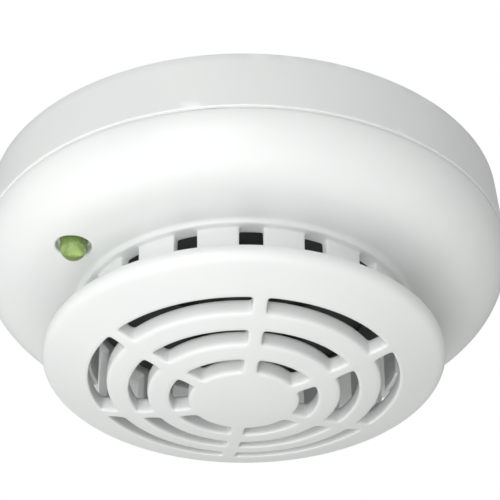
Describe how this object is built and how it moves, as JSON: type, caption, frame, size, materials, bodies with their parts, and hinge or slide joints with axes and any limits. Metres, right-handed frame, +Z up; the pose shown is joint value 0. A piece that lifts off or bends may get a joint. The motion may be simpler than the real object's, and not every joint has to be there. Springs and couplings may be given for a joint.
{
  "type": "ceiling heat detector",
  "caption": "Round white ceiling heat detector: a twist-lock base with a rounded cover, windowed neck and domed slotted cap.",
  "frame": {"origin": "centre of the base on the ceiling plane", "axes": "+Z up into the ceiling, -Z towards the room, -Y towards the front from which the green light is seen on the left"},
  "size_m": [0.1024, 0.1024, 0.0444],
  "materials": {
    "white_plastic": "satin moulded",
    "black_plastic": "fine matt",
    "contact_metal": "nickel plated",
    "screw_steel": "zinc plated",
    "board": "solder mask",
    "led_lens": "clear tinted",
    "bead_epoxy": "glossy dipped",
    "capacitor_sleeve": "shrunk sleeve",
    "chip_package": "moulded epoxy"
  },
  "bodies": {
    "base": {"base_plate": "white_plastic", "terminal_1": "contact_metal", "terminal_2": "contact_metal", "terminal_3": "contact_metal", "terminal_4": "contact_metal", "terminal_screw_1": "screw_steel", "terminal_screw_2": "screw_steel", "terminal_screw_3": "screw_steel", "terminal_screw_4": "screw_steel"},
    "head": {"chassis": "white_plastic", "cover": "white_plastic", "grille_cap": "white_plastic", "circuit_board": "board", "sensor_carrier": "black_plastic", "thermistor": "bead_epoxy", "reference_thermistor": "bead_epoxy", "status_led": "led_lens", "led_spacer": "black_plastic", "cover_screw_1": "screw_steel", "cover_screw_2": "screw_steel", "cover_screw_3": "screw_steel", "board_screw_1": "screw_steel", "board_screw_2": "screw_steel", "microcontroller": "chip_package", "bridge_rectifier": "chip_package", "capacitor": "capacitor_sleeve", "contact_blade_1": "contact_metal", "contact_blade_2": "contact_metal", "contact_blade_3": "contact_metal", "contact_blade_4": "contact_metal"}
  },
  "joints": [
    {"name": "head_twist", "type": "hinge", "parent": "base", "child": "head", "pos_m": [0, 0, -0.0129], "axis": [0, 0, -1], "range_deg": [0, 20]}
  ]
}
